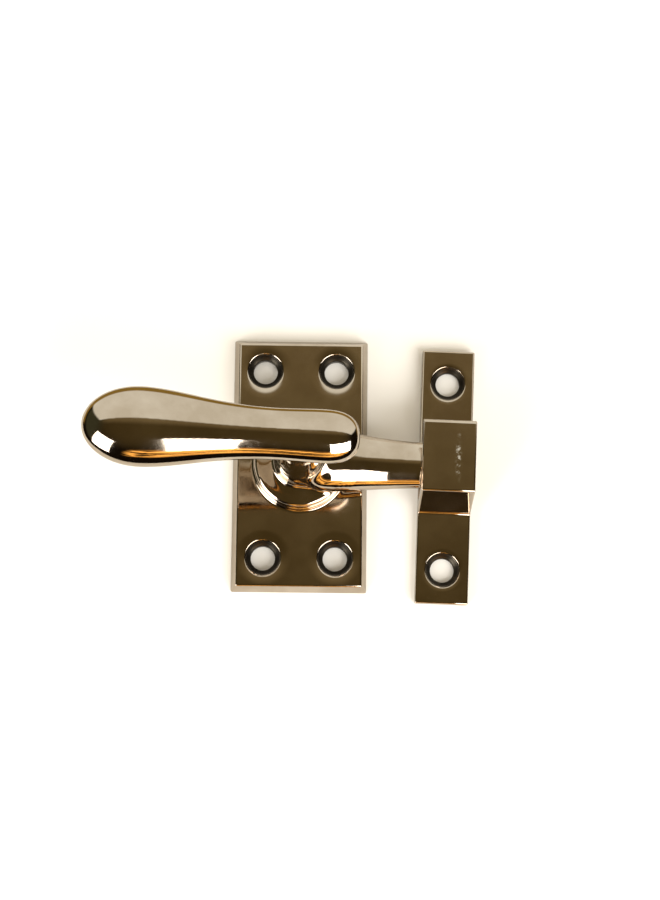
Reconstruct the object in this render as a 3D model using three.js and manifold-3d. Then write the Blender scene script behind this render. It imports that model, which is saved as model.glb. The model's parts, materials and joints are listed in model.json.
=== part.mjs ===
// Casement window fastener: a lever that turns on a screwed-on backplate, and the hook strike it closes into.
// Millimetres, +Z up. The origin is where the pivot axis meets the mounting plane. The back of both
// plates lies on z = 0, +X runs from the pivot towards the strike and +Y along the backplate.
import * as THREE from 'three';
import { mergeVertices } from 'three/addons/utils/BufferGeometryUtils.js';
import Module from 'manifold-3d';

const wasm = await Module();
wasm.setup();

// ---- driving dimensions ----

const plateWidth = 28.6;
const plateHeight = 54;
const plateThickness = 3.2;
const plateDraft = 1.17; // how far each side leans in between the back and the face
const bossRadius = 9.9;
const bossTop = 4.6; // height of the raised round bearing face
const bossRound = 0.7;

const screwSpacingX = 15.1;
const screwSpacingY = 39.8;
const screwHole = 5.1; // diameters
const screwHead = 7.6;
const strikeScrewHole = 5;
const strikeScrewHead = 7.4;

const pinRadius = 2.9;
const pinFit = 0.15; // clearance of the pin in the lever
const pinRunning = 0.3; // clearance of the pin in the plate
const pinTop = 20;
const rivetRadius = 3.9;
const rivetFace = 0.1; // the riveted end lies just inside the back of the plate
const rivetThickness = 0.7;
const pocketRadius = 6;
const pocketDepth = 2.7;
const stackGap = 0.15; // between the pieces of the washer stack

const collarRadius = 9.7; // the lever's round foot on the boss
const collarBottom = 5.2;
const neckRadius = 4.6;
const gripHeight = 38.5; // axis of the grip over the pivot, above the mounting plane
const gripRise = 4; // degrees that the grip rises towards its bulb
const gripFlatness = 0.68; // section height over its width
const bulbHalfWidth = 7.8;
const waistHalfWidth = 5.05;
const elbowHalfWidth = 5.3;
const elbowEndX = 11.6;
const bulbEndX = -41.85;

const tongueFlatness = 0.62;
const tongueRootX = 7.6;
const tongueRootZ = 9.4; // the tongue's axis leaves the collar at this height,
const tongueFallX = [5.5, 18.5]; // falls between these two places,
const tongueSeatZ = 7.65; // and lies level in the hook
const tongueTipX = 34.4;

const strikeX = 30.7; // middle of the strike, along and across the closed lever
const strikeY = -1.2;
const strikeWidth = 11.1;
const strikeLength = 54;
const strikeThickness = 2.4;
const noseTop = 13.5;
const noseThickness = 2.2;
const noseStartY = -4.75; // in the strike's own frame, like the next three
const noseEndY = 10.15;
const webFootY = -7.9;
const webThickness = 2.3;

const closedTurn = -1.7; // degrees: the closed lever and its strike stand this far off square to the plate
const roundSides = 48;

// ---- materials ----

const polishedNickel = new THREE.MeshStandardMaterial({ color: 0x8c7b66, metalness: 1, roughness: 0.12 });
const castNickel = new THREE.MeshStandardMaterial({ color: 0x7d6c58, metalness: 1, roughness: 0.16 });
const strikeNickel = new THREE.MeshStandardMaterial({ color: 0x6e5f4c, metalness: 1, roughness: 0.22 });
const plainSteel = new THREE.MeshStandardMaterial({ color: 0x8f9193, metalness: 1, roughness: 0.35 });
const springBronze = new THREE.MeshStandardMaterial({ color: 0xa47a4c, metalness: 1, roughness: 0.35 });

// ---- solids ----

// Turns a closed geometry into a solid that can be cut and joined.
function solid(geometry) {
  const bare = geometry.clone();
  bare.deleteAttribute('normal');
  bare.deleteAttribute('uv');
  const merged = mergeVertices(bare, 1e-4);
  const vertProperties = new Float32Array(merged.attributes.position.array);
  const triVerts = new Uint32Array(merged.index.array);
  return new wasm.Manifold(new wasm.Mesh({ numProp: 3, vertProperties, triVerts }));
}

function geometryOf(shape) {
  const mesh = shape.getMesh();
  const geometry = new THREE.BufferGeometry();
  geometry.setAttribute('position', new THREE.BufferAttribute(new Float32Array(mesh.vertProperties), 3));
  geometry.setIndex(new THREE.BufferAttribute(new Uint32Array(mesh.triVerts), 1));
  return geometry.toNonIndexed();
}

// A round piece on the Z axis, from [radius, height] pairs that run from the bottom to the top.
function turned(profile, sides = roundSides) {
  const points = profile.map(([radius, height]) => new THREE.Vector2(radius, height));
  return new THREE.LatheGeometry(points, sides).rotateX(Math.PI / 2);
}

function ring(inner, outer, bottom, top) {
  return turned([[inner, bottom], [outer, bottom], [outer, top], [inner, top], [inner, bottom]]);
}

// A countersunk screw hole cut down through a plate at (x, y).
function screwCut(x, y, thickness, hole, head) {
  const sinkDepth = (head - hole) / 2;
  const below = -1;
  const above = thickness + 1;
  const profile = [
    [0, below],
    [hole / 2, below],
    [hole / 2, thickness - sinkDepth],
    [head / 2, thickness],
    [head / 2, above],
    [0, above],
  ];
  return solid(turned(profile, 32).translate(x, y, 0));
}

// An oval bar along +X, from [x, half width] pairs, flattened in height.
function ovalBar(profile, flatness, sides) {
  const points = profile.map(([x, halfWidth]) => new THREE.Vector2(Math.max(halfWidth, 0), x));
  return new THREE.LatheGeometry(points, sides).rotateZ(-Math.PI / 2).scale(1, 1, flatness);
}

// A rounded end: the half widths of a superellipse from its middle out to its tip, or back again.
function roundEnd(middleX, tipX, halfWidth, power, steps) {
  const end = [];
  for (let step = 0; step <= steps; step += 1) {
    const angle = (step / steps) * (Math.PI / 2);
    const along = Math.sin(angle) ** (2 / power);
    const across = step === steps ? 0 : Math.cos(angle) ** (2 / power);
    end.push([middleX + (tipX - middleX) * along, halfWidth * across]);
  }
  return end;
}

// ---- backplate ----

// A plate with drafted sides, a raised round boss, four countersunk holes and a pocket in its back.
function backplateGeometry() {
  const body = new THREE.BoxGeometry(plateWidth, plateHeight, plateThickness);
  const place = body.attributes.position;
  for (let i = 0; i < place.count; i += 1) {
    if (place.getZ(i) > 0) {
      place.setX(i, place.getX(i) - Math.sign(place.getX(i)) * plateDraft);
      place.setY(i, place.getY(i) - Math.sign(place.getY(i)) * plateDraft);
    }
  }
  body.translate(0, 0, plateThickness / 2);
  const roundSteps = 5;
  const bossProfile = [[0, 1], [bossRadius, 1]];
  for (let step = 0; step <= roundSteps; step += 1) {
    const angle = (step / roundSteps) * (Math.PI / 2);
    const out = bossRadius - bossRound * (1 - Math.cos(angle));
    bossProfile.push([out, bossTop - bossRound * (1 - Math.sin(angle))]);
  }
  bossProfile.push([0, bossTop]);

  let plate = solid(body).add(solid(turned(bossProfile)));
  for (const x of [-screwSpacingX / 2, screwSpacingX / 2]) {
    for (const y of [-screwSpacingY / 2, screwSpacingY / 2]) {
      plate = plate.subtract(screwCut(x, y, plateThickness, screwHole, screwHead));
    }
  }
  const pivotCut = turned([
    [0, -1],
    [pocketRadius, -1],
    [pocketRadius, pocketDepth],
    [pinRadius + pinRunning, pocketDepth],
    [pinRadius + pinRunning, bossTop + 1],
    [0, bossTop + 1],
  ]);
  return geometryOf(plate.subtract(solid(pivotCut)));
}

// ---- pivot ----
// The pin is fast in the lever. It runs through the plate and is riveted over a washer in the pocket.

const rivetTop = rivetFace + rivetThickness;
const retainerBottom = rivetTop + stackGap;
const retainerTop = retainerBottom + 0.6;
const springBottom = retainerTop + stackGap;
const springTop = pocketDepth - stackGap;
const thrustBottom = bossTop + stackGap;
const thrustTop = collarBottom - stackGap;

function pinGeometry() {
  return turned([
    [0, rivetFace],
    [rivetRadius - 0.3, rivetFace],
    [rivetRadius, rivetFace + 0.3],
    [rivetRadius, rivetTop],
    [pinRadius, rivetTop],
    [pinRadius, pinTop - 0.5],
    [pinRadius - 0.5, pinTop],
    [0, pinTop],
  ]);
}

// A spring washer: a thin flat ring bent into three waves.
function springGeometry() {
  const inner = pinRadius + 0.4;
  const outer = pocketRadius - 0.5;
  const thickness = 0.35;
  const waves = 3;
  const middle = (springBottom + springTop) / 2;
  const lift = (springTop - springBottom - thickness) / 2;
  const geometry = ring(inner, outer, middle - thickness / 2, middle + thickness / 2);
  const place = geometry.attributes.position;
  for (let i = 0; i < place.count; i += 1) {
    const angle = Math.atan2(place.getY(i), place.getX(i));
    place.setZ(i, place.getZ(i) + lift * Math.cos(waves * angle));
  }
  return geometry;
}

// ---- lever ----

// The handle: an oval bar with a bulb at one end and a short rounded elbow at the other.
function gripGeometry() {
  const bulbMiddleX = -30.6;
  const elbowMiddleX = 5.2;
  const bulb = roundEnd(bulbMiddleX, bulbEndX, bulbHalfWidth, 2, 9).reverse();
  const elbow = roundEnd(elbowMiddleX, elbowEndX, elbowHalfWidth, 2.5, 7);
  const handle = new THREE.SplineCurve([
    new THREE.Vector2(bulbMiddleX, bulbHalfWidth),
    new THREE.Vector2(-25, 7.4),
    new THREE.Vector2(-17.5, 6.2),
    new THREE.Vector2(-10, 5.25),
    new THREE.Vector2(-3.5, waistHalfWidth),
    new THREE.Vector2(elbowMiddleX, elbowHalfWidth),
  ]);
  const middle = handle.getPoints(14).slice(1, -1).map((point) => [point.x, point.y]);
  const grip = ovalBar([...bulb, ...middle, ...elbow], gripFlatness, 32);
  return grip.rotateY(THREE.MathUtils.degToRad(gripRise)).translate(0, 0, gripHeight);
}

// The arm that closes into the hook. It falls off the collar and runs out level.
function tongueGeometry() {
  const startX = 1;
  const roundX = 31.2;
  const shank = new THREE.SplineCurve([
    new THREE.Vector2(startX, 5.4),
    new THREE.Vector2(4.9, 6.7),
    new THREE.Vector2(tongueRootX, 6.5),
    new THREE.Vector2(12.5, 5.75),
    new THREE.Vector2(18, 5.15),
    new THREE.Vector2(23.6, 4.9),
    new THREE.Vector2(roundX, 4.75),
  ]);
  const sides = shank.getPoints(12).slice(0, -1).map((point) => [point.x, point.y]);
  const tip = roundEnd(roundX, tongueTipX, 4.75, 2.6, 6);
  const bar = ovalBar([[startX, 0], ...sides, ...tip], tongueFlatness, 32);
  const place = bar.attributes.position;
  for (let i = 0; i < place.count; i += 1) {
    const fallen = THREE.MathUtils.smoothstep(place.getX(i), ...tongueFallX);
    place.setZ(i, place.getZ(i) + tongueRootZ + (tongueSeatZ - tongueRootZ) * fallen);
  }
  return bar;
}

// One casting: grip, upright neck on a round collar, and tongue, bored from below for the pin.
function leverGeometry() {
  const neck = turned([
    [0, collarBottom],
    [collarRadius, collarBottom],
    [collarRadius, collarBottom + 0.65],
    [9.4, 6.5],
    [8.7, 6.82],
    [6.6, 7.08],
    [5.7, 7.4],
    [5.2, 8.2],
    [4.95, 10.2],
    [4.75, 13.5],
    [neckRadius, 22],
    [neckRadius, gripHeight],
    [0, gripHeight],
  ], 40);
  const bore = turned([
    [0, collarBottom - 1],
    [pinRadius + pinFit, collarBottom - 1],
    [pinRadius + pinFit, pinTop],
    [0, pinTop + 1.5],
  ]);
  const casting = solid(neck).add(solid(gripGeometry())).add(solid(tongueGeometry()));
  return geometryOf(casting.subtract(solid(bore)));
}

// ---- strike ----

// A flat tab with a hook raised on it, open towards +Y, where the tongue swings in.
function strikeGeometry() {
  const half = strikeLength / 2;
  const noseBottom = noseTop - noseThickness;
  const lean = (noseStartY - webFootY) / (noseTop - strikeThickness);
  const footFillet = 0.8;
  const hook = new THREE.Shape();
  hook.moveTo(-half, 0);
  hook.lineTo(half, 0);
  hook.lineTo(half, strikeThickness);
  hook.lineTo(webFootY + webThickness + footFillet, strikeThickness);
  hook.quadraticCurveTo(
    webFootY + webThickness,
    strikeThickness,
    webFootY + webThickness + lean * footFillet,
    strikeThickness + footFillet,
  );
  hook.lineTo(noseStartY + webThickness - lean * noseThickness, noseBottom);
  hook.lineTo(noseEndY, noseBottom);
  hook.lineTo(noseEndY, noseTop - 0.4);
  hook.lineTo(noseEndY - 0.4, noseTop);
  hook.lineTo(noseStartY + 0.4, noseTop);
  hook.lineTo(noseStartY, noseTop - 0.4);
  hook.lineTo(webFootY + lean * footFillet, strikeThickness + footFillet);
  hook.quadraticCurveTo(webFootY, strikeThickness, webFootY - footFillet, strikeThickness);
  hook.lineTo(-half, strikeThickness);
  hook.closePath();
  // the outline is drawn as (y, z) and pushed out along X
  const bar = new THREE.ExtrudeGeometry(hook, { depth: strikeWidth, bevelEnabled: false, curveSegments: 5 });
  const axes = new THREE.Matrix4().makeBasis(
    new THREE.Vector3(0, 1, 0),
    new THREE.Vector3(0, 0, 1),
    new THREE.Vector3(1, 0, 0),
  );
  bar.applyMatrix4(axes).translate(-strikeWidth / 2, 0, 0);
  let strike = solid(bar);
  for (const y of [-screwSpacingY / 2, screwSpacingY / 2]) {
    strike = strike.subtract(screwCut(0, y, strikeThickness, strikeScrewHole, strikeScrewHead));
  }
  return geometryOf(strike);
}

// ---- assembly ----

function piece(name, geometry, material) {
  const mesh = new THREE.Mesh(geometry, material);
  mesh.name = name;
  return mesh;
}

const fastener = new THREE.Group();
fastener.add(piece('backplate', backplateGeometry(), polishedNickel));

const springWasher = piece('spring_washer', springGeometry(), springBronze);
const thrustWasher = piece(
  'thrust_washer',
  ring(pinRadius + pinRunning, collarRadius - 0.9, thrustBottom, thrustTop),
  springBronze,
);
fastener.add(springWasher, thrustWasher);

// the lever is shown closed, with the pieces that turn with it
const turning = new THREE.Group();
turning.rotation.z = THREE.MathUtils.degToRad(closedTurn);
turning.add(piece('lever', leverGeometry(), castNickel));
turning.add(piece('pivot_pin', pinGeometry(), plainSteel));
turning.add(
  piece('retaining_washer', ring(pinRadius + pinFit, pocketRadius - 0.5, retainerBottom, retainerTop), plainSteel),
);
fastener.add(turning);

// the strike stands on the other sash, square to the closed lever
const keeper = new THREE.Group();
keeper.rotation.z = THREE.MathUtils.degToRad(closedTurn);
const strike = piece('strike', strikeGeometry(), strikeNickel);
strike.position.set(strikeX, strikeY, 0);
keeper.add(strike);
fastener.add(keeper);

export default fastener;
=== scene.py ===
import json
import math

import bmesh
import bpy
from mathutils import Matrix, Vector
from mathutils.geometry import interpolate_bezier


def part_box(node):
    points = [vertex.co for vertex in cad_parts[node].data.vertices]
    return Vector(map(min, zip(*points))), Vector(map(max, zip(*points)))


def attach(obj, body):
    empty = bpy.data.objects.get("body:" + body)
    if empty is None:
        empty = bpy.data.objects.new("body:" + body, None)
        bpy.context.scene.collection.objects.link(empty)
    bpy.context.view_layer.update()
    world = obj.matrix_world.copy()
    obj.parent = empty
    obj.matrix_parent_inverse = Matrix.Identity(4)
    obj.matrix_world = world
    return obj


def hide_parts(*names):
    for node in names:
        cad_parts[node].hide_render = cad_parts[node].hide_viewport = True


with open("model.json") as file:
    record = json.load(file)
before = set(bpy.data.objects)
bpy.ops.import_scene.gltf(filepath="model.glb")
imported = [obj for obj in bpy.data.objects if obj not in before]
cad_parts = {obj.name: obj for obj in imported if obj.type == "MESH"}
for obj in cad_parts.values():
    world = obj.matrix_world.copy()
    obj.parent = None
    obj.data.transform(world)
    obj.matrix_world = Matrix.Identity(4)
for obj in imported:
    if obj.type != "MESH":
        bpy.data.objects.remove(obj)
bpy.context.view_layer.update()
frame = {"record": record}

MM = 0.001


# ---------------------------------------------------------------- backplate
# The plate that screws to the closing sash: solid brass, cast with drafted sides and a low round boss,
# drilled and countersunk for four screws, bored and pocketed behind for the pivot, then buffed to a mirror
# and plated in warm nickel.

def circle(bm, radius, height, centre=(0, 0), sides=96):
    """A level ring of edges, sizes in millimetres."""
    place = Matrix.Translation(Vector((centre[0], centre[1], height)) * MM)
    made = bmesh.ops.create_circle(bm, segments=sides, radius=radius * MM, matrix=place)
    return list({edge for vert in made["verts"] for edge in vert.link_edges})


def lathe_wall(bm, profile, centre=(0, 0), sides=96):
    """Walls round an upright axis through (radius, height) steps. Returns the first ring and the last."""
    first = circle(bm, *profile[0], centre, sides)
    ring = first
    for (old_radius, old_height), (radius, height) in zip(profile, profile[1:]):
        made = bmesh.ops.extrude_edge_only(bm, edges=ring)["geom"]
        verts = [part for part in made if isinstance(part, bmesh.types.BMVert)]
        ring = [part for part in made if isinstance(part, bmesh.types.BMEdge)]
        spread = radius / old_radius
        to_axis = Matrix.Translation(Vector((-centre[0], -centre[1], 0)) * MM)
        bmesh.ops.scale(bm, vec=(spread, spread, 1), space=to_axis, verts=verts)
        bmesh.ops.translate(bm, vec=(0, 0, (height - old_height) * MM), verts=verts)
    return first, ring


def arc(middle, radius, start, end, steps):
    """Points round a quarter or so of a circle, in degrees, both ends included."""
    points = []
    for step in range(steps + 1):
        angle = math.radians(start + (end - start) * step / steps)
        points.append((middle[0] + radius * math.cos(angle), middle[1] + radius * math.sin(angle)))
    return points


def finish_mesh(name, bm, material, sharp=38):
    """Closes the seams, turns the faces outwards and makes the piece, with its real corners kept sharp."""
    bmesh.ops.remove_doubles(bm, verts=bm.verts, dist=0.0005 * MM)
    bmesh.ops.recalc_face_normals(bm, faces=bm.faces)
    for face in bm.faces:
        face.smooth = True
    for edge in bm.edges:
        edge.smooth = edge.calc_face_angle(0) < math.radians(sharp)
    mesh = bpy.data.meshes.new(name)
    bm.to_mesh(mesh)
    bm.free()
    mesh.materials.append(material)
    piece = bpy.data.objects.new(name, mesh)
    bpy.context.scene.collection.objects.link(piece)
    return piece


def flat_with_holes(bm, loops):
    """Fills the flat face that lies between an outline and the holes in it."""
    edges = [edge for loop in loops for edge in loop]
    bmesh.ops.triangle_fill(bm, use_beauty=True, use_dissolve=False, edges=edges)


class Finish:
    """A material that is built up node by node on the object's own coordinates."""

    def __init__(self, name):
        self.material = bpy.data.materials.new(name)
        self.material.use_nodes = True
        self.nodes = self.material.node_tree.nodes
        self.links = self.material.node_tree.links
        self.shader = self.nodes["Principled BSDF"]
        self.coords = self.add("ShaderNodeTexCoord").outputs["Object"]

    def add(self, kind, **settings):
        node = self.nodes.new(kind)
        for key, value in settings.items():
            setattr(node, key, value)
        return node

    def join(self, output, socket):
        self.links.new(output, socket)

    def noise(self, scale, detail=3.0, roughness=0.5, stretch=(1, 1, 1), turn=(0, 0, 0)):
        """Noise with features about 1/scale metres across, drawn out by stretch."""
        mapping = self.add("ShaderNodeMapping")
        mapping.inputs["Scale"].default_value = stretch
        mapping.inputs["Rotation"].default_value = turn
        self.join(self.coords, mapping.inputs["Vector"])
        noise = self.add("ShaderNodeTexNoise")
        noise.inputs["Scale"].default_value = scale
        noise.inputs["Detail"].default_value = detail
        noise.inputs["Roughness"].default_value = roughness
        self.join(mapping.outputs["Vector"], noise.inputs["Vector"])
        return noise.outputs["Fac"]

    def spread(self, value, low, high, to_low, to_high):
        """Maps a value from one range to another and clamps it."""
        node = self.add("ShaderNodeMapRange")
        for key, number in zip(("From Min", "From Max", "To Min", "To Max"), (low, high, to_low, to_high)):
            node.inputs[key].default_value = number
        self.join(value, node.inputs["Value"])
        return node.outputs["Result"]

    def maths(self, operation, first, second):
        node = self.add("ShaderNodeMath", operation=operation)
        for socket, value in zip(node.inputs, (first, second)):
            if isinstance(value, float):
                socket.default_value = value
            else:
                self.join(value, socket)
        return node.outputs["Value"]

    def mix(self, amount, first, second):
        """Mixes two colours, given as colours or as other nodes' outputs."""
        node = self.add("ShaderNodeMix", data_type="RGBA")
        self.join(amount, node.inputs["Factor"])
        for socket, value in zip((node.inputs[6], node.inputs[7]), (first, second)):
            if isinstance(value, tuple):
                socket.default_value = (*value, 1)
            else:
                self.join(value, socket)
        return node.outputs[2]

    def edges(self, low, high):
        """1 on worn outer edges and corners, 0 elsewhere."""
        return self.spread(self.add("ShaderNodeNewGeometry").outputs["Pointiness"], low, high, 0, 1)

    def bump(self, height, distance, before=None):
        node = self.add("ShaderNodeBump")
        node.inputs["Strength"].default_value = 1
        node.inputs["Distance"].default_value = distance
        self.join(height, node.inputs["Height"])
        if before is not None:
            self.join(before, node.inputs["Normal"])
        return node.outputs["Normal"]


NICKEL = (0.60, 0.52, 0.43)
NICKEL_DEEP = (0.50, 0.42, 0.33)
WORN_BRASS = (0.86, 0.66, 0.44)
# painted shade: the near-black that the countersinks and bores of the screw holes are coloured with
HOLE_SHADE_COLOUR = (0.07, 0.06, 0.045)


def mirror_nickel(name, grain, rough, wave, wear):
    """Buffed and plated: uneven warm tone, faint lines along the grain, brass showing on worn corners."""
    plate = Finish(name)
    plate.shader.inputs["Metallic"].default_value = 1
    tone = plate.spread(plate.noise(130, 4), 0.38, 0.64, 0, 1)
    corners = plate.edges(wear, wear + 0.1)
    rubbed = plate.maths("MULTIPLY", corners, plate.spread(plate.noise(420, 3), 0.42, 0.6, 0.1, 0.9))
    colour = plate.mix(rubbed, plate.mix(tone, NICKEL_DEEP, NICKEL), WORN_BRASS)
    plate.join(colour, plate.shader.inputs["Base Color"])
    lines = plate.noise(900, 2, 0.6, grain)
    haze = plate.spread(plate.noise(210, 5, 0.6), 0.35, 0.7, *rough)
    scratched = plate.maths("ADD", haze, plate.spread(lines, 0.62, 0.78, 0, 0.06))
    plate.join(scratched, plate.shader.inputs["Roughness"])
    swell = plate.bump(plate.noise(95, 1), wave * MM)
    plate.join(plate.bump(lines, 0.00035 * MM, swell), plate.shader.inputs["Normal"])
    return plate


def screw_holes(plate, across, along, centre=(0, 0, 0), turn=0.0):
    """The distance in metres to the nearest screw hole. The holes lie evenly about the centre."""
    placed = plate.add("ShaderNodeMapping", vector_type="TEXTURE")
    placed.inputs["Location"].default_value = centre
    placed.inputs["Rotation"].default_value = (0, 0, turn)
    plate.join(plate.coords, placed.inputs["Vector"])
    quarter = plate.add("ShaderNodeVectorMath", operation="ABSOLUTE")
    plate.join(placed.outputs["Vector"], quarter.inputs[0])
    centred = plate.add("ShaderNodeMapping")
    centred.inputs["Location"].default_value = (-across / 2 * MM, -along / 2 * MM, 0)
    centred.inputs["Scale"].default_value = (1, 1, 0)
    plate.join(quarter.outputs["Vector"], centred.inputs["Vector"])
    away = plate.add("ShaderNodeVectorMath", operation="LENGTH")
    plate.join(centred.outputs["Vector"], away.inputs[0])
    return away.outputs["Value"]


def hole_shade_and_dip(plate, away, rim, reach, depth):
    """Holes coloured near-black and duller as painted shade, each in the soft dip that buffing leaves."""
    # painted shade: inside each hole the colour goes near-black, standing in for the shade and dark
    # reflections there
    hole_shade = plate.spread(away, (rim - 0.5) * MM, (rim - 0.1) * MM, 1, 0)
    for name, dull in (("Base Color", HOLE_SHADE_COLOUR), ("Roughness", (0.35, 0.35, 0.35))):
        socket = plate.shader.inputs[name]
        plate.join(plate.mix(hole_shade, socket.links[0].from_socket, dull), socket)
    dip = plate.spread(away, rim * MM, reach * MM, 1, 0)
    height = plate.maths("MULTIPLY", plate.maths("MULTIPLY", dip, dip), -depth)
    socket = plate.shader.inputs["Normal"]
    plate.join(plate.bump(height, MM, socket.links[0].from_socket), socket)


plate_low, plate_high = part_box("backplate")
PLATE_FACE_HEIGHT = 3.2
PLATE_DRAFT = 1.17
PLATE_EDGE = 0.35
BOSS_RADIUS = 9.9
BOSS_ROUND = 0.7
BOSS_TOP = plate_high.z / MM
SCREWS_ACROSS = 15.1
SCREWS_ALONG = 39.8
POCKET_RADIUS = 6.0
POCKET_DEPTH = 2.7
PIVOT_HOLE = 3.2
plate_width, plate_length, _ = (plate_high - plate_low) / MM

bm = bmesh.new()
bmesh.ops.create_cube(bm, size=MM)
bmesh.ops.scale(bm, vec=(plate_width, plate_length, PLATE_FACE_HEIGHT), verts=bm.verts)
bmesh.ops.translate(bm, vec=(0, 0, PLATE_FACE_HEIGHT / 2 * MM), verts=bm.verts)
draft = (1 - 2 * PLATE_DRAFT / plate_width, 1 - 2 * PLATE_DRAFT / plate_length, 1)
bmesh.ops.scale(bm, vec=draft, verts=[v for v in bm.verts if v.co.z > MM])
bmesh.ops.bevel(
    bm, geom=bm.edges[:], offset=PLATE_EDGE * MM, segments=4, profile=0.5, affect="EDGES", material=-1
)
rims = {}
for side in (1, -1):
    flat = max(bm.faces, key=lambda face: face.calc_area() * (face.normal.z * side > 0.99))
    bmesh.ops.inset_region(bm, faces=[flat], thickness=0.15 * MM)
    rims[side] = list(flat.edges)
    bmesh.ops.delete(bm, geom=[flat], context="FACES_ONLY")

# each screw hole: a soft rim, a countersunk cone and a straight hole
face_z = PLATE_FACE_HEIGHT
screw_hole = [(4.1, face_z), *arc((3.95, face_z - 0.3), 0.3, 90, 150, 4), (3.35, face_z - 0.75)]
screw_hole += [(2.75, face_z - 1.3), *arc((2.85, face_z - 1.6), 0.3, 150, 180, 2)]
screw_hole += [(2.55, 0.2), (2.7, 0), (2.85, 0)]
tops, bottoms = [rims[1]], [rims[-1]]
for x in (-SCREWS_ACROSS / 2, SCREWS_ACROSS / 2):
    for y in (-SCREWS_ALONG / 2, SCREWS_ALONG / 2):
        top, bottom = lathe_wall(bm, screw_hole, (x, y), 64)
        tops.append(top)
        bottoms.append(bottom)

# the boss, and down through it the pivot hole and the pocket in the back
boss = [(BOSS_RADIUS + 0.7, face_z), *arc((BOSS_RADIUS + 0.4, face_z + 0.4), 0.4, 270, 180, 4)]
boss += [*arc((BOSS_RADIUS - BOSS_ROUND, BOSS_TOP - BOSS_ROUND), BOSS_ROUND, 0, 90, 6)]
boss += [(BOSS_RADIUS - 1, BOSS_TOP), (3.5, BOSS_TOP)]
boss += [*arc((PIVOT_HOLE + 0.15, BOSS_TOP - 0.15), 0.15, 90, 180, 3), (PIVOT_HOLE, POCKET_DEPTH)]
boss += [(POCKET_RADIUS, POCKET_DEPTH), (POCKET_RADIUS, 0.2)]
boss += [(POCKET_RADIUS + 0.2, 0), (POCKET_RADIUS + 0.4, 0)]
top, bottom = lathe_wall(bm, boss)
tops.append(top)
bottoms.append(bottom)
flat_with_holes(bm, tops)
flat_with_holes(bm, bottoms)

plate_nickel = mirror_nickel("plate_nickel", grain=(14, 0.6, 1), rough=(0.045, 0.1), wave=0.0022, wear=0.64)
plate_holes = screw_holes(plate_nickel, SCREWS_ACROSS, SCREWS_ALONG)
# painted shade in the plate's screw holes
hole_shade_and_dip(plate_nickel, plate_holes, 3.9, 6.0, 0.095)
backplate = finish_mesh("backplate_plated", bm, plate_nickel.material)
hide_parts("backplate")
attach(backplate, "root")


# ---------------------------------------------------------------- spring washer
# A wave washer of rolled phosphor bronze in the pocket behind the plate. Squeezed there, it pulls the lever
# down on the boss and gives it its drag.

def turned(bm, profile, sides=96, axis=(0, 0, 1)):
    """A closed round piece, spun from an outline of (radius, height) points in millimetres."""
    points = [bm.verts.new(Vector((radius, 0, height)) * MM) for radius, height in profile]
    outline = [bm.edges.new(pair) for pair in zip(points, points[1:])]
    bmesh.ops.spin(
        bm, geom=points + outline, cent=(0, 0, 0), axis=axis, angle=math.tau, steps=sides, use_merge=True
    )
    bmesh.ops.remove_doubles(bm, verts=bm.verts, dist=0.0005 * MM)


def washer_outline(inner, outer, bottom, top, edge=0.08):
    """A flat ring's section with its corners eased, closed on itself."""
    return [
        (inner + edge, bottom), (outer - edge, bottom), (outer, bottom + edge),
        (outer, top - edge), (outer - edge, top), (inner + edge, top),
        (inner, top - edge), (inner, bottom + edge), (inner + edge, bottom),
    ]


def rolled_metal(name, light, deep, rough=(0.22, 0.42)):
    """Unplated sheet or bar: matt bloom, fine lines and darker stains."""
    metal = Finish(name)
    metal.shader.inputs["Metallic"].default_value = 1
    stain = metal.spread(metal.noise(260, 6, 0.6), 0.35, 0.65, 0, 1)
    edge = metal.edges(0.52, 0.6)
    metal.join(metal.mix(edge, metal.mix(stain, deep, light), light), metal.shader.inputs["Base Color"])
    metal.join(metal.spread(metal.noise(700, 4), 0.3, 0.7, *rough), metal.shader.inputs["Roughness"])
    lines = metal.noise(1500, 2, 0.5, (1, 1, 9))
    metal.join(metal.bump(lines, 0.002 * MM), metal.shader.inputs["Normal"])
    return metal.material


spring_low, spring_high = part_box("spring_washer")
SPRING_THICKNESS = 0.35
SPRING_WAVES = 3
spring_outer = (spring_high.x - spring_low.x) / 2 / MM
spring_middle = (spring_low.z + spring_high.z) / 2 / MM
spring_lift = (spring_high.z - spring_low.z) / 2 / MM - SPRING_THICKNESS / 2
spring_bronze = rolled_metal("spring_bronze", (0.62, 0.40, 0.20), (0.40, 0.23, 0.11))

bm = bmesh.new()
half = SPRING_THICKNESS / 2
turned(bm, washer_outline(3.3, spring_outer, spring_middle - half, spring_middle + half))
for vert in bm.verts:
    vert.co.z += spring_lift * MM * math.cos(SPRING_WAVES * math.atan2(vert.co.y, vert.co.x))
spring_washer = finish_mesh("spring_washer_rolled", bm, spring_bronze)
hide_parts("spring_washer")
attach(spring_washer, "root")


# ---------------------------------------------------------------- thrust washer
# A thin bronze washer on top of the boss. The lever's collar turns on it, and only its rim shows, as a dark
# line between the two.

thrust_low, thrust_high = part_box("thrust_washer")
thrust_outer = (thrust_high.x - thrust_low.x) / 2 / MM

bm = bmesh.new()
turned(bm, washer_outline(PIVOT_HOLE, thrust_outer, thrust_low.z / MM, thrust_high.z / MM, 0.06))
thrust_washer = finish_mesh("thrust_washer_rolled", bm, spring_bronze)
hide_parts("thrust_washer")
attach(thrust_washer, "root")


# ---------------------------------------------------------------- pivot pin
# The steel axle, pressed up into the lever. Its lower end is riveted over behind the retaining washer,
# which leaves a slightly domed head.

pin_low, pin_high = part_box("pivot_pin")
PIN_RADIUS = 2.9
RIVET_THICKNESS = 0.7
rivet_radius = (pin_high.x - pin_low.x) / 2 / MM
rivet_face = pin_low.z / MM
pin_top = pin_high.z / MM
plain_steel = rolled_metal("plain_steel", (0.60, 0.60, 0.59), (0.36, 0.35, 0.34), (0.18, 0.36))

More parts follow.
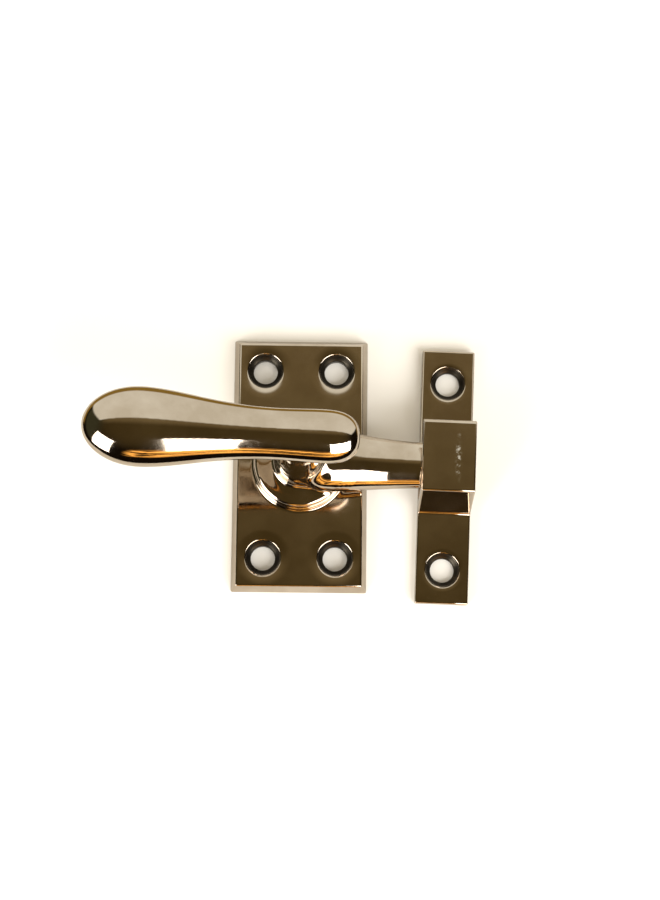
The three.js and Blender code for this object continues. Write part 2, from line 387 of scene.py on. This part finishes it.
bm = bmesh.new()
pin_outline = [(0, rivet_face), (rivet_radius - 1.1, rivet_face + 0.02)]
pin_outline += arc((rivet_radius - 0.4, rivet_face + 0.42), 0.4, 270, 360, 4)
pin_outline += [(rivet_radius, rivet_face + RIVET_THICKNESS), (PIN_RADIUS, rivet_face + RIVET_THICKNESS)]
pin_outline += [(PIN_RADIUS, pin_top - 0.5), (PIN_RADIUS - 0.5, pin_top), (0, pin_top)]
turned(bm, pin_outline)
pivot_pin = finish_mesh("pivot_pin_turned", bm, plain_steel)
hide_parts("pivot_pin")
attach(pivot_pin, "lever")


# ---------------------------------------------------------------- retaining washer
# The plain steel washer that the pin is riveted over, in the pocket behind the plate. It turns with the
# pin and bears on the spring washer.

retainer_low, retainer_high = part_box("retaining_washer")
retainer_outer = (retainer_high.x - retainer_low.x) / 2 / MM

bm = bmesh.new()
retainer = washer_outline(PIN_RADIUS + 0.15, retainer_outer, retainer_low.z / MM, retainer_high.z / MM)
turned(bm, retainer)
retaining_washer = finish_mesh("retaining_washer_plain", bm, plain_steel)
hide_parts("retaining_washer")
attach(retaining_washer, "lever")


# ---------------------------------------------------------------- lever
# One brass casting, buffed until every join is a soft hollow, then plated: the bulb-ended grip, the neck on
# its round collar, and the tongue. It is shown closed, a little off square to the plate, and is bored from
# below for the pivot pin.

CLOSED_TURN = math.radians(-1.7)
COLLAR_RADIUS = 9.7
COLLAR_BOTTOM = 5.2
COLLAR_ROUND = 0.95
NECK_RADIUS = 4.6
GRIP_HEIGHT = 38.5
GRIP_FLATNESS = 0.68
GRIP_RISE = math.radians(4)
BULB_END, BULB_MIDDLE, BULB_HALF = -41.85, -30.6, 7.8
WAIST_X, WAIST_HALF = -4.5, 5.08
ELBOW_END, ELBOW_MIDDLE, ELBOW_HALF = 11.65, 4.6, 5.3
TONGUE_FLATNESS = 0.62
TONGUE_ROOT, TONGUE_END = (4.6, 6.7), (31.2, 4.75)
TONGUE_ROOT_HEIGHT, TONGUE_SEAT_HEIGHT = 9.4, 7.65
TONGUE_FALL_START, TONGUE_FALL_END = 5.5, 18.5
TONGUE_TIP = 34.4
CASTING_GRAIN = 0.25


def round_end(middle, tip, half, power, steps=32):
    """Half widths of a rounded end, from its middle out to its tip."""
    points = []
    for step in range(steps + 1):
        angle = math.radians(90 * step / steps)
        along = middle + (tip - middle) * math.sin(angle) ** (2 / power)
        across = half * max(math.cos(angle), 0) ** (2 / power)
        points.append((along, across if step < steps else 0))
    return points


def easy_curve(start, end, start_pull, end_pull, steps):
    """A curve between two half widths that leaves and arrives level. The first point is left out."""
    handles = (start[0] + start_pull, start[1]), (end[0] - end_pull, end[1])
    points = [Vector((*point, 0)) for point in (start, *handles, end)]
    return [(point.x, point.y) for point in interpolate_bezier(*points, steps)[1:]]


def oval_bar(bm, profile, flatness, place, sides=160):
    """A bar along X, spun from (x, half width) points, flattened in height and then put in its place."""
    before = set(bm.verts)
    turned(bm, [(half, x) for x, half in profile], sides)
    bar = [vert for vert in bm.verts if vert not in before]
    along_x = Matrix.Rotation(math.radians(90), 4, "Y")
    flat = Matrix.Diagonal((1, 1, flatness, 1))
    bmesh.ops.transform(bm, matrix=place @ flat @ along_x, verts=bar)
    return bar


grip = round_end(BULB_MIDDLE, BULB_END, BULB_HALF, 2)[::-1]
grip += easy_curve((BULB_MIDDLE, BULB_HALF), (WAIST_X, WAIST_HALF), 7.5, 12.0, 90)
grip += easy_curve((WAIST_X, WAIST_HALF), (ELBOW_MIDDLE, ELBOW_HALF), 3.0, 3.0, 30)
grip += round_end(ELBOW_MIDDLE, ELBOW_END, ELBOW_HALF, 2.5)[1:]

tongue = [(1.0, 0), (1.0, 4.6), (2.6, 6.1), TONGUE_ROOT]
tongue += easy_curve(TONGUE_ROOT, TONGUE_END, 5.0, 15.0, 90)
tongue += round_end(TONGUE_END[0], TONGUE_TIP, TONGUE_END[1], 2.6)[1:]

neck = [(0, COLLAR_BOTTOM), (COLLAR_RADIUS - 0.15, COLLAR_BOTTOM), (COLLAR_RADIUS, COLLAR_BOTTOM + 0.15)]
neck += [*arc((COLLAR_RADIUS - COLLAR_ROUND, 5.85), COLLAR_ROUND, 0, 84, 8)]
neck += [(8.0, 6.84), (7.2, 6.88), (6.4, 6.94), (5.9, 7.04), (5.45, 7.3), (5.15, 7.9), (5.0, 9.2)]
neck += [(4.9, 11.2), (4.75, 13.5), (NECK_RADIUS, 18), (NECK_RADIUS - 0.05, 26)]
neck += [(NECK_RADIUS, 31), (NECK_RADIUS + 0.1, 35), (NECK_RADIUS, GRIP_HEIGHT), (0, GRIP_HEIGHT + 0.4)]

bm = bmesh.new()
turned(bm, neck, 96)
rise = Matrix.Translation((0, 0, GRIP_HEIGHT * MM)) @ Matrix.Rotation(GRIP_RISE, 4, "Y")
oval_bar(bm, grip, GRIP_FLATNESS, rise)
level = Matrix.Translation((0, 0, TONGUE_ROOT_HEIGHT * MM))
for vert in oval_bar(bm, tongue, TONGUE_FLATNESS, level):
    along = (vert.co.x / MM - TONGUE_FALL_START) / (TONGUE_FALL_END - TONGUE_FALL_START)
    along = min(max(along, 0), 1)
    vert.co.z -= (TONGUE_ROOT_HEIGHT - TONGUE_SEAT_HEIGHT) * MM * along * along * (3 - 2 * along)
bmesh.ops.recalc_face_normals(bm, faces=bm.faces)
rough_casting = bpy.data.meshes.new("rough_casting")
bm.to_mesh(rough_casting)
bm.free()
casting = bpy.data.objects.new("rough_casting", rough_casting)
bpy.context.scene.collection.objects.link(casting)
fused = casting.modifiers.new("fused", "REMESH")
fused.mode = "VOXEL"
fused.voxel_size = CASTING_GRAIN * MM
depsgraph = bpy.context.evaluated_depsgraph_get()
whole = bpy.data.meshes.new_from_object(casting.evaluated_get(depsgraph))

# buffing: a light pass everywhere, then a long one into each hollow where two forms meet
bm = bmesh.new()
bm.from_mesh(whole)


def buffed(verts, passes):
    for _ in range(passes):
        bmesh.ops.smooth_vert(
            bm, verts=verts, factor=0.5, use_axis_x=True, use_axis_y=True, use_axis_z=True
        )


buffed([vert for vert in bm.verts if vert.co.z > (COLLAR_BOTTOM + 0.4) * MM], 10)
hollows = [
    (Vector((0, 0, GRIP_HEIGHT - 4.0)), (6.6, 6.2, 5.8, 5.4)),
    (Vector((5.2, 0, 10.0)), (7.8, 7.3, 6.8, 6.4)),
]
for middle, reaches in hollows:
    for reach in reaches:
        near = [v for v in bm.verts if (v.co / MM - middle).length < reach and v.co.z > 5.9 * MM]
        buffed(near, 22)
bmesh.ops.rotate(bm, cent=(0, 0, 0), matrix=Matrix.Rotation(CLOSED_TURN, 3, "Z"), verts=bm.verts)
lever_nickel = mirror_nickel(
    "lever_nickel", grain=(0.5, 9, 9), rough=(0.04, 0.1), wave=0.006, wear=0.66
).material
lever = finish_mesh("lever_cast", bm, lever_nickel, 60)

# the bore for the pin, drilled up from below
bm = bmesh.new()
bore_radius = PIN_RADIUS + 0.15
bore_start = COLLAR_BOTTOM - 1
turned(bm, [(0, bore_start), (bore_radius, bore_start), (bore_radius, pin_top), (0, pin_top + 1.2)])
drill = finish_mesh("drill", bm, lever_nickel)
bore = lever.modifiers.new("bore", "BOOLEAN")
bore.operation = "DIFFERENCE"
bore.solver = "MANIFOLD"
bore.object = drill
depsgraph = bpy.context.evaluated_depsgraph_get()
drilled = bpy.data.meshes.new_from_object(lever.evaluated_get(depsgraph))
lever.modifiers.clear()
lever.data = drilled
for spare in (drill, casting):
    bpy.data.objects.remove(spare)
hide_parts("lever")
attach(lever, "lever")


# ---------------------------------------------------------------- strike
# The keeper, screwed to the other sash: a narrow brass tab with a hook standing on it, its nose reaching
# over the tongue and its throat open on one side. Plated like the plate, and scuffed where it is handled.

_, strike_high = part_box("strike")
seat = next(mount for mount in frame["record"]["mounts"] if mount["name"] == "strike_seat")
STRIKE_WIDTH = 11.1
STRIKE_LENGTH = 54.0
TAB_THICKNESS = 2.4
NOSE_THICKNESS = 2.2
NOSE_START, NOSE_END = -4.75, 10.15
WEB_FOOT = -7.9
WEB_THICKNESS = 2.3
nose_top = strike_high.z / MM
nose_under = nose_top - NOSE_THICKNESS
web_lean = (NOSE_START - WEB_FOOT) / (nose_top - TAB_THICKNESS)
throat_y = NOSE_START + WEB_THICKNESS - web_lean * NOSE_THICKNESS

hook_outline = [
    (-STRIKE_LENGTH / 2, 0), (STRIKE_LENGTH / 2, 0), (STRIKE_LENGTH / 2, TAB_THICKNESS),
    (WEB_FOOT + WEB_THICKNESS, TAB_THICKNESS),
    (throat_y, nose_under),
    (NOSE_END, nose_under), (NOSE_END, nose_top), (NOSE_START, nose_top),
    (WEB_FOOT, TAB_THICKNESS), (-STRIKE_LENGTH / 2, TAB_THICKNESS),
]
bm = bmesh.new()
corners = [bm.verts.new(Vector((-STRIKE_WIDTH / 2, y, z)) * MM) for y, z in hook_outline]
side = bm.faces.new(corners)
pushed = bmesh.ops.extrude_face_region(bm, geom=[side])["geom"]
far_side = [part for part in pushed if isinstance(part, bmesh.types.BMVert)]
bmesh.ops.translate(bm, vec=(STRIKE_WIDTH * MM, 0, 0), verts=far_side)
bmesh.ops.recalc_face_normals(bm, faces=bm.faces)


def along_x(edge, y, z):
    """True for the edge across the strike at (y, z)."""
    return all(abs(v.co.y / MM - y) < 0.05 and abs(v.co.z / MM - z) < 0.05 for v in edge.verts)


# the foot of the web runs out into the tab in a hollow, inside and out, and so does the nose into the web
inner_foot = [e for e in bm.edges if along_x(e, WEB_FOOT + WEB_THICKNESS, TAB_THICKNESS)]
outer_foot = [e for e in bm.edges if along_x(e, WEB_FOOT, TAB_THICKNESS)]
throat = [e for e in bm.edges if along_x(e, throat_y, nose_under)]
for hollow, width in ((inner_foot, 0.8), (outer_foot, 0.3), (throat, 0.9)):
    bmesh.ops.bevel(
        bm, geom=hollow, offset=width * MM, segments=6, profile=0.5, affect="EDGES", material=-1
    )

# the tip of the nose is rounded more than the other corners
tip = [e for e in bm.edges if along_x(e, NOSE_END, nose_top)]
bmesh.ops.bevel(bm, geom=tip, offset=0.7 * MM, segments=8, profile=0.5, affect="EDGES", material=-1)
sharp = [e for e in bm.edges if e.is_convex and e.calc_face_angle(0) > math.radians(30)]
bmesh.ops.bevel(bm, geom=sharp, offset=0.32 * MM, segments=4, profile=0.5, affect="EDGES", material=-1)

flats = [face for face in bm.faces if face.calc_area() > 40 * MM * MM]
bmesh.ops.inset_individual(bm, faces=flats, thickness=0.1 * MM)
rims = {}
for key, side, y in (("top", 1, 18), ("bottom", 1, -18), ("back", -1, 0)):
    found = [f for f in bm.faces if f.normal.z * side > 0.99 and f.calc_area() > 60 * MM * MM]
    flat = min(found, key=lambda face: abs(face.calc_center_median().y / MM - y))
    rims[key] = list(flat.edges)
    bmesh.ops.delete(bm, geom=[flat], context="FACES_ONLY")
tab_z = TAB_THICKNESS
tab_hole = [(3.95, tab_z), *arc((3.8, tab_z - 0.25), 0.25, 90, 150, 4), (3.2, tab_z - 0.65)]
tab_hole += [(2.7, tab_z - 1.1), *arc((2.8, tab_z - 1.4), 0.3, 150, 180, 2)]
tab_hole += [(2.5, 0.2), (2.65, 0), (2.8, 0)]
upper_top, upper_bottom = lathe_wall(bm, tab_hole, (0, SCREWS_ALONG / 2), 64)
lower_top, lower_bottom = lathe_wall(bm, tab_hole, (0, -SCREWS_ALONG / 2), 64)
flat_with_holes(bm, [rims["top"], upper_top])
flat_with_holes(bm, [rims["bottom"], lower_top])
flat_with_holes(bm, [rims["back"], upper_bottom, lower_bottom])
bmesh.ops.rotate(bm, cent=(0, 0, 0), matrix=Matrix.Rotation(CLOSED_TURN, 3, "Z"), verts=bm.verts)
bmesh.ops.translate(bm, vec=seat["pos_m"], verts=bm.verts)


def scuffed(metal, middle, half_size, turn):
    """A pale rubbed streak round one place, broken up by noise."""
    placed = metal.add("ShaderNodeMapping", vector_type="TEXTURE")
    placed.inputs["Location"].default_value = middle
    placed.inputs["Rotation"].default_value = (0, 0, turn)
    placed.inputs["Scale"].default_value = [half * MM for half in half_size]
    metal.join(metal.coords, placed.inputs["Vector"])
    away = metal.add("ShaderNodeVectorMath", operation="LENGTH")
    metal.join(placed.outputs["Vector"], away.inputs[0])
    within = metal.spread(away.outputs["Value"], 0.2, 1, 1, 0)
    amount = metal.maths("MULTIPLY", within, metal.spread(metal.noise(800, 4, 0.6), 0.46, 0.62, 0, 1))
    for name, rubbed in (("Base Color", (0.85, 0.82, 0.74)), ("Roughness", (0.5, 0.5, 0.5))):
        socket = metal.shader.inputs[name]
        metal.join(metal.mix(amount, socket.links[0].from_socket, rubbed), socket)


strike_nickel = mirror_nickel("strike_nickel", grain=(9, 0.5, 1), rough=(0.05, 0.11), wave=0.002, wear=0.6)
tab_holes = screw_holes(strike_nickel, 0, SCREWS_ALONG, seat["pos_m"], CLOSED_TURN)
# painted shade in the strike's screw holes
hole_shade_and_dip(strike_nickel, tab_holes, 3.75, 4.6, 0.03)
streak = Vector(seat["pos_m"]) + Matrix.Rotation(CLOSED_TURN, 3, "Z") @ Vector((1.9, 2.4, nose_top)) * MM
scuffed(strike_nickel, streak, (0.9, 6.5, 3), CLOSED_TURN)
strike = finish_mesh("strike_plated", bm, strike_nickel.material)
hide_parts("strike")
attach(strike, "strike")


# ---------------------------------------------------------------- studio
# A white table under two softboxes, which stand in front to the right and low on the left. Everything else
# in the room only shows in the polish: a brown ceiling, a pale wall behind, dark walls, and gold lamp light.

STUDIO_RADIUS = 1.6
SOFTBOX_RIGHT = (0.549, -0.548, 0.631)
SOFTBOX_LEFT = (-0.733, -0.570, 0.373)


def softbox(name, direction, size, roll, glow):
    """A square lamp a set way off, which faces the fastener. Size is for a distance of one metre."""
    lamp = bpy.data.lights.new(name, "AREA")
    lamp.shape = "RECTANGLE"
    lamp.size, lamp.size_y = (side * STUDIO_RADIUS for side in size)
    lamp.energy = glow * math.pi * lamp.size * lamp.size_y
    lamp.color = (1, 0.985, 0.96)
    box = bpy.data.objects.new(name, lamp)
    aim = (-Vector(direction)).to_track_quat("-Z", "Y").to_matrix()
    box.rotation_euler = (aim @ Matrix.Rotation(math.radians(roll), 3, "Z")).to_euler()
    box.location = Vector(direction) * STUDIO_RADIUS
    box.visible_camera = False
    bpy.context.scene.collection.objects.link(box)


softbox("softbox_right", SOFTBOX_RIGHT, (0.82, 0.65), -34, 6.5)
softbox("softbox_left", SOFTBOX_LEFT, (0.54, 0.85), 13, 6.5)


def sheet(name, low, high, height, material):
    """A level sheet between two corners, in metres."""
    bm = bmesh.new()
    bmesh.ops.create_grid(bm, x_segments=1, y_segments=1, size=0.5)
    bmesh.ops.scale(bm, vec=(high[0] - low[0], high[1] - low[1], 1), verts=bm.verts)
    bmesh.ops.translate(bm, vec=((low[0] + high[0]) / 2, (low[1] + high[1]) / 2, 0), verts=bm.verts)
    mesh = bpy.data.meshes.new(name)
    bm.to_mesh(mesh)
    bm.free()
    mesh.materials.append(material)
    piece = bpy.data.objects.new(name, mesh)
    piece.location.z = height
    bpy.context.scene.collection.objects.link(piece)
    return piece


def matt(name, dark, light):
    """Matt paper or paint, faintly uneven."""
    paint = Finish(name)
    paint.join(paint.mix(paint.noise(3, 2), dark, light), paint.shader.inputs["Base Color"])
    paint.shader.inputs["Roughness"].default_value = 0.9
    return paint.material


table_white = matt("table_white", (0.86, 0.85, 0.82), (0.90, 0.89, 0.87))
table = sheet("table", (-3, -3), (3, 3), -0.08 * MM, table_white)
table.visible_glossy = False

# the polish sees only a sheet close by, a grey copy of the table painted darker as painted shade on the
# floor it mirrors, and the dim room beyond it
# painted shade: this grey sheet, seen only in reflections, stands in for the white table in shade
reflected_floor_shade = matt("reflected_floor_shade", (0.58, 0.57, 0.54), (0.64, 0.63, 0.60))
shaded_floor_sheet = sheet("shaded_floor_sheet", (-0.13, -0.088), (0.13, 0.055), -0.04 * MM, reflected_floor_shade)
shaded_floor_sheet.visible_camera = False
shaded_floor_sheet.visible_diffuse = False
shaded_floor_sheet.visible_shadow = False

world = bpy.data.worlds.new("studio")
world.use_nodes = True
tree = world.node_tree
tree.nodes.clear()
way = tree.nodes.new("ShaderNodeTexCoord").outputs["Generated"]


def room_node(kind, inputs, **settings):
    """A node of the room's light, with its inputs joined or set in order."""
    node = tree.nodes.new(kind)
    for key, value in settings.items():
        setattr(node, key, value)
    for key, value in inputs.items():
        if isinstance(value, bpy.types.NodeSocket):
            tree.links.new(value, node.inputs[key])
        else:
            node.inputs[key].default_value = value
    return node


def towards(direction, start, end):
    """0 away from a direction, 1 towards it, with a soft step where the cosine goes from start to end."""
    dot = room_node("ShaderNodeVectorMath", {0: way, 1: direction}, operation="DOT_PRODUCT")
    ramp = {"Value": dot.outputs["Value"], "From Min": start, "From Max": end}
    return room_node("ShaderNodeMapRange", ramp, interpolation_type="SMOOTHSTEP").outputs["Result"]


def both(first, second):
    return room_node("ShaderNodeMath", {0: first, 1: second}, operation="MULTIPLY").outputs["Value"]


def painted(amount, under, over):
    return room_node("ShaderNodeMix", {0: amount, 6: under, 7: over}, data_type="RGBA").outputs[2]


# the room as the metal sees it, from the dark walls up to the ceiling, then the pale wall behind
room = painted(towards((0, 0, 1), 0.45, 0.98), (0.010, 0.006, 0.003, 1), (0.088, 0.060, 0.020, 1))
lit_ceiling = both(towards((0, 1, 0), 0.05, 0.26), towards((0, 0, 1), 0.6, 0.9))
room = painted(lit_ceiling, room, (0.23, 0.170, 0.080, 1))
left_wall = both(towards((-1, 0.2, 0), 0.55, 0.85), towards((0, 0, 1), -0.1, 0.1))
room = painted(left_wall, room, (0.060, 0.058, 0.030, 1))
wall = both(towards((0, 0.955, -0.296), -0.02, 0.03), towards((0.60, 0.70, 0.38), -0.03, 0.05))
wall = both(wall, towards((-0.40, 0.845, 0.353), -0.03, 0.05))
room = painted(wall, room, (1.02, 1.0, 0.89, 1))
below_wall = both(towards((0, 0, -1), 0.10, 0.22), towards((0, 1, 0), 0.1, 0.3))
room = painted(below_wall, room, (0.38, 0.24, 0.055, 1))

# gold light low in front, broken into streaks
streaks = room_node("ShaderNodeMapping", {"Vector": way, "Scale": (3, 3, 14)}).outputs["Vector"]
streaks = room_node("ShaderNodeTexNoise", {"Vector": streaks, "Scale": 1.6, "Detail": 3}).outputs["Fac"]
ramp = {"Value": streaks, "From Min": 0.43, "From Max": 0.52}
streaks = room_node("ShaderNodeMapRange", ramp).outputs["Result"]
front = both(towards((0, 0, 1), 0.12, 0.22), towards((0, 0, -1), -0.62, -0.50))
front = both(towards((0.25, -0.95, 0.2), 0.82, 0.93), front)
room = painted(both(front, streaks), room, (2.8, 1.35, 0.28, 1))

# everything that is not polish sees plain pale light
sight = tree.nodes.new("ShaderNodeLightPath")
pale = painted(sight.outputs["Is Camera Ray"], (0.80, 0.71, 0.56, 1), (1.0, 0.99, 0.97, 1))
seen = painted(sight.outputs["Is Glossy Ray"], pale, room)
background = room_node("ShaderNodeBackground", {"Color": seen, "Strength": 1.0})
room_node("ShaderNodeOutputWorld", {"Surface": background.outputs["Background"]})
bpy.context.scene.world = world
bpy.context.scene.view_settings.view_transform = "Standard"

# the camera looks down on the plate from a little in front of it, nearly square to the plate
view = bpy.data.cameras.new("camera")
view.lens = 75.36
view.clip_start = 0.01
camera = bpy.data.objects.new("camera", view)
camera.location = Vector((0.96, -62.22, 395.14)) * MM
camera.rotation_mode = "ZYX"
camera.rotation_euler = [math.radians(angle) for angle in (9.454, -0.769, 0.714)]
bpy.context.scene.collection.objects.link(camera)
bpy.context.scene.camera = camera
